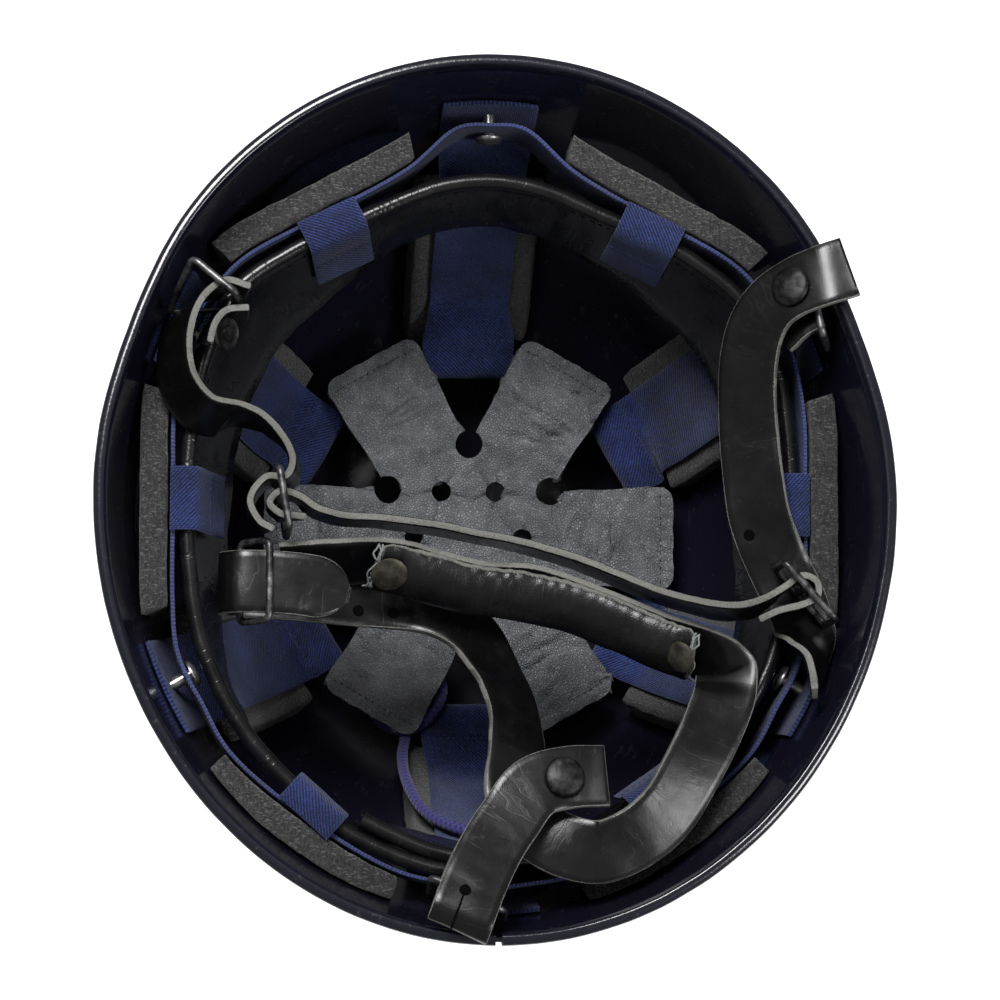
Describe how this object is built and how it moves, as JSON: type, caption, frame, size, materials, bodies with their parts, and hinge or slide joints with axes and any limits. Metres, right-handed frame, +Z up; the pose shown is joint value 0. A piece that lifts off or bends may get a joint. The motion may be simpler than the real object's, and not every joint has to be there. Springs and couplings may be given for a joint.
{
  "type": "combat helmet",
  "caption": "Oval steel helmet lying open side up, with a webbing and leather liner, felt pads, a laced crown star and a black leather chin harness.",
  "frame": {"origin": "middle of the small flat at the crown, which the helmet lies on", "axes": "+Z up, out of the open side; +Y towards the front of the helmet; +X to the right seen from above with the front away"},
  "size_m": [0.255, 0.2854, 0.1756],
  "materials": {
    "paint": "gloss",
    "webbing": "matt twill",
    "felt": "matt felt",
    "steel": "dark satin",
    "dark_stud": "semi-gloss",
    "band_leather": "satin",
    "grey_leather": "satin, creased",
    "black_leather": "satin",
    "cord": "matt braid"
  },
  "bodies": {
    "root": {"shell": "paint", "rim_strip": "paint", "ring_webbing": "webbing", "liner_stud_30": "steel", "liner_stud_90": "steel", "liner_stud_150": "steel", "liner_stud_210": "steel", "liner_stud_270": "steel", "liner_stud_330": "steel", "rim_pad_0": "felt", "rim_pad_60": "felt", "rim_pad_120": "felt", "rim_pad_180": "felt", "rim_pad_240": "felt", "rim_pad_300": "felt", "crown_pad_30": "felt", "crown_pad_90": "felt", "crown_pad_150": "felt", "crown_pad_210": "felt", "crown_pad_270": "felt", "crown_pad_330": "felt", "crown_strap_30": "webbing", "crown_strap_90": "webbing", "crown_strap_150": "webbing", "crown_strap_210": "webbing", "crown_strap_270": "webbing", "crown_strap_330": "webbing", "headband": "band_leather", "head_loop_0": "webbing", "head_loop_60": "webbing", "head_loop_120": "webbing", "head_loop_180": "webbing", "head_loop_240": "webbing", "head_loop_300": "webbing", "crown_star": "grey_leather", "lace": "cord", "left_side_strap": "black_leather", "left_anchor_tab": "black_leather", "right_side_strap": "black_leather", "right_anchor_tab": "black_leather", "chin_strap": "black_leather", "nape_strap": "black_leather", "rear_anchor_strap": "black_leather", "right_anchor_stud": "dark_stud", "rear_anchor_stud": "dark_stud", "chin_pad": "black_leather", "chin_pad_rivet_left": "dark_stud", "chin_pad_rivet_right": "dark_stud", "left_anchor_ring": "steel", "right_anchor_ring": "steel", "rear_anchor_ring": "steel", "nape_buckle": "steel", "left_buckle": "steel", "right_buckle": "steel"}
  },
  "joints": []
}
